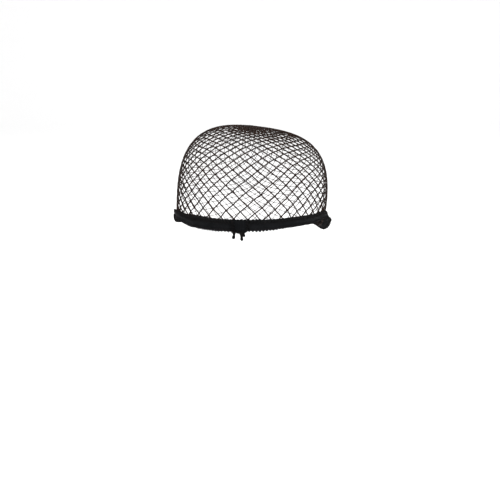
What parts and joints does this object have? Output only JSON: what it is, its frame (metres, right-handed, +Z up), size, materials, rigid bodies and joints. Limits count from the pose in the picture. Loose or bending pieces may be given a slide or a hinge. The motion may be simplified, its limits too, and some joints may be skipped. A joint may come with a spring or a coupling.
{
  "type": "net wig cap",
  "caption": "Open fishnet wig cap held in its worn form: a stretched net dome on a narrow elastic band, lapped in front and gathered behind the crown.",
  "frame": {"origin": "middle of the head opening, level with the middle of the band over the ears", "axes": "-Y to the front of the wearer, +X to the wearer's left, +Z up towards the crown"},
  "size_m": [0.1681, 0.1853, 0.1374],
  "materials": {
    "net_yarn": "black textured nylon yarn, slightly brown where the light passes, matt with a faint sheen",
    "band_elastic": "black knitted elastic with overlocked edges, matt",
    "sewing_thread": "black sewing thread, matt"
  },
  "bodies": {
    "root": {"net_crown": "net_yarn", "crown_gather": "net_yarn", "elastic_band": "band_elastic", "band_join": "band_elastic", "join_tail_left": "sewing_thread", "join_tail_right": "sewing_thread", "join_tail_side": "sewing_thread"}
  },
  "joints": []
}
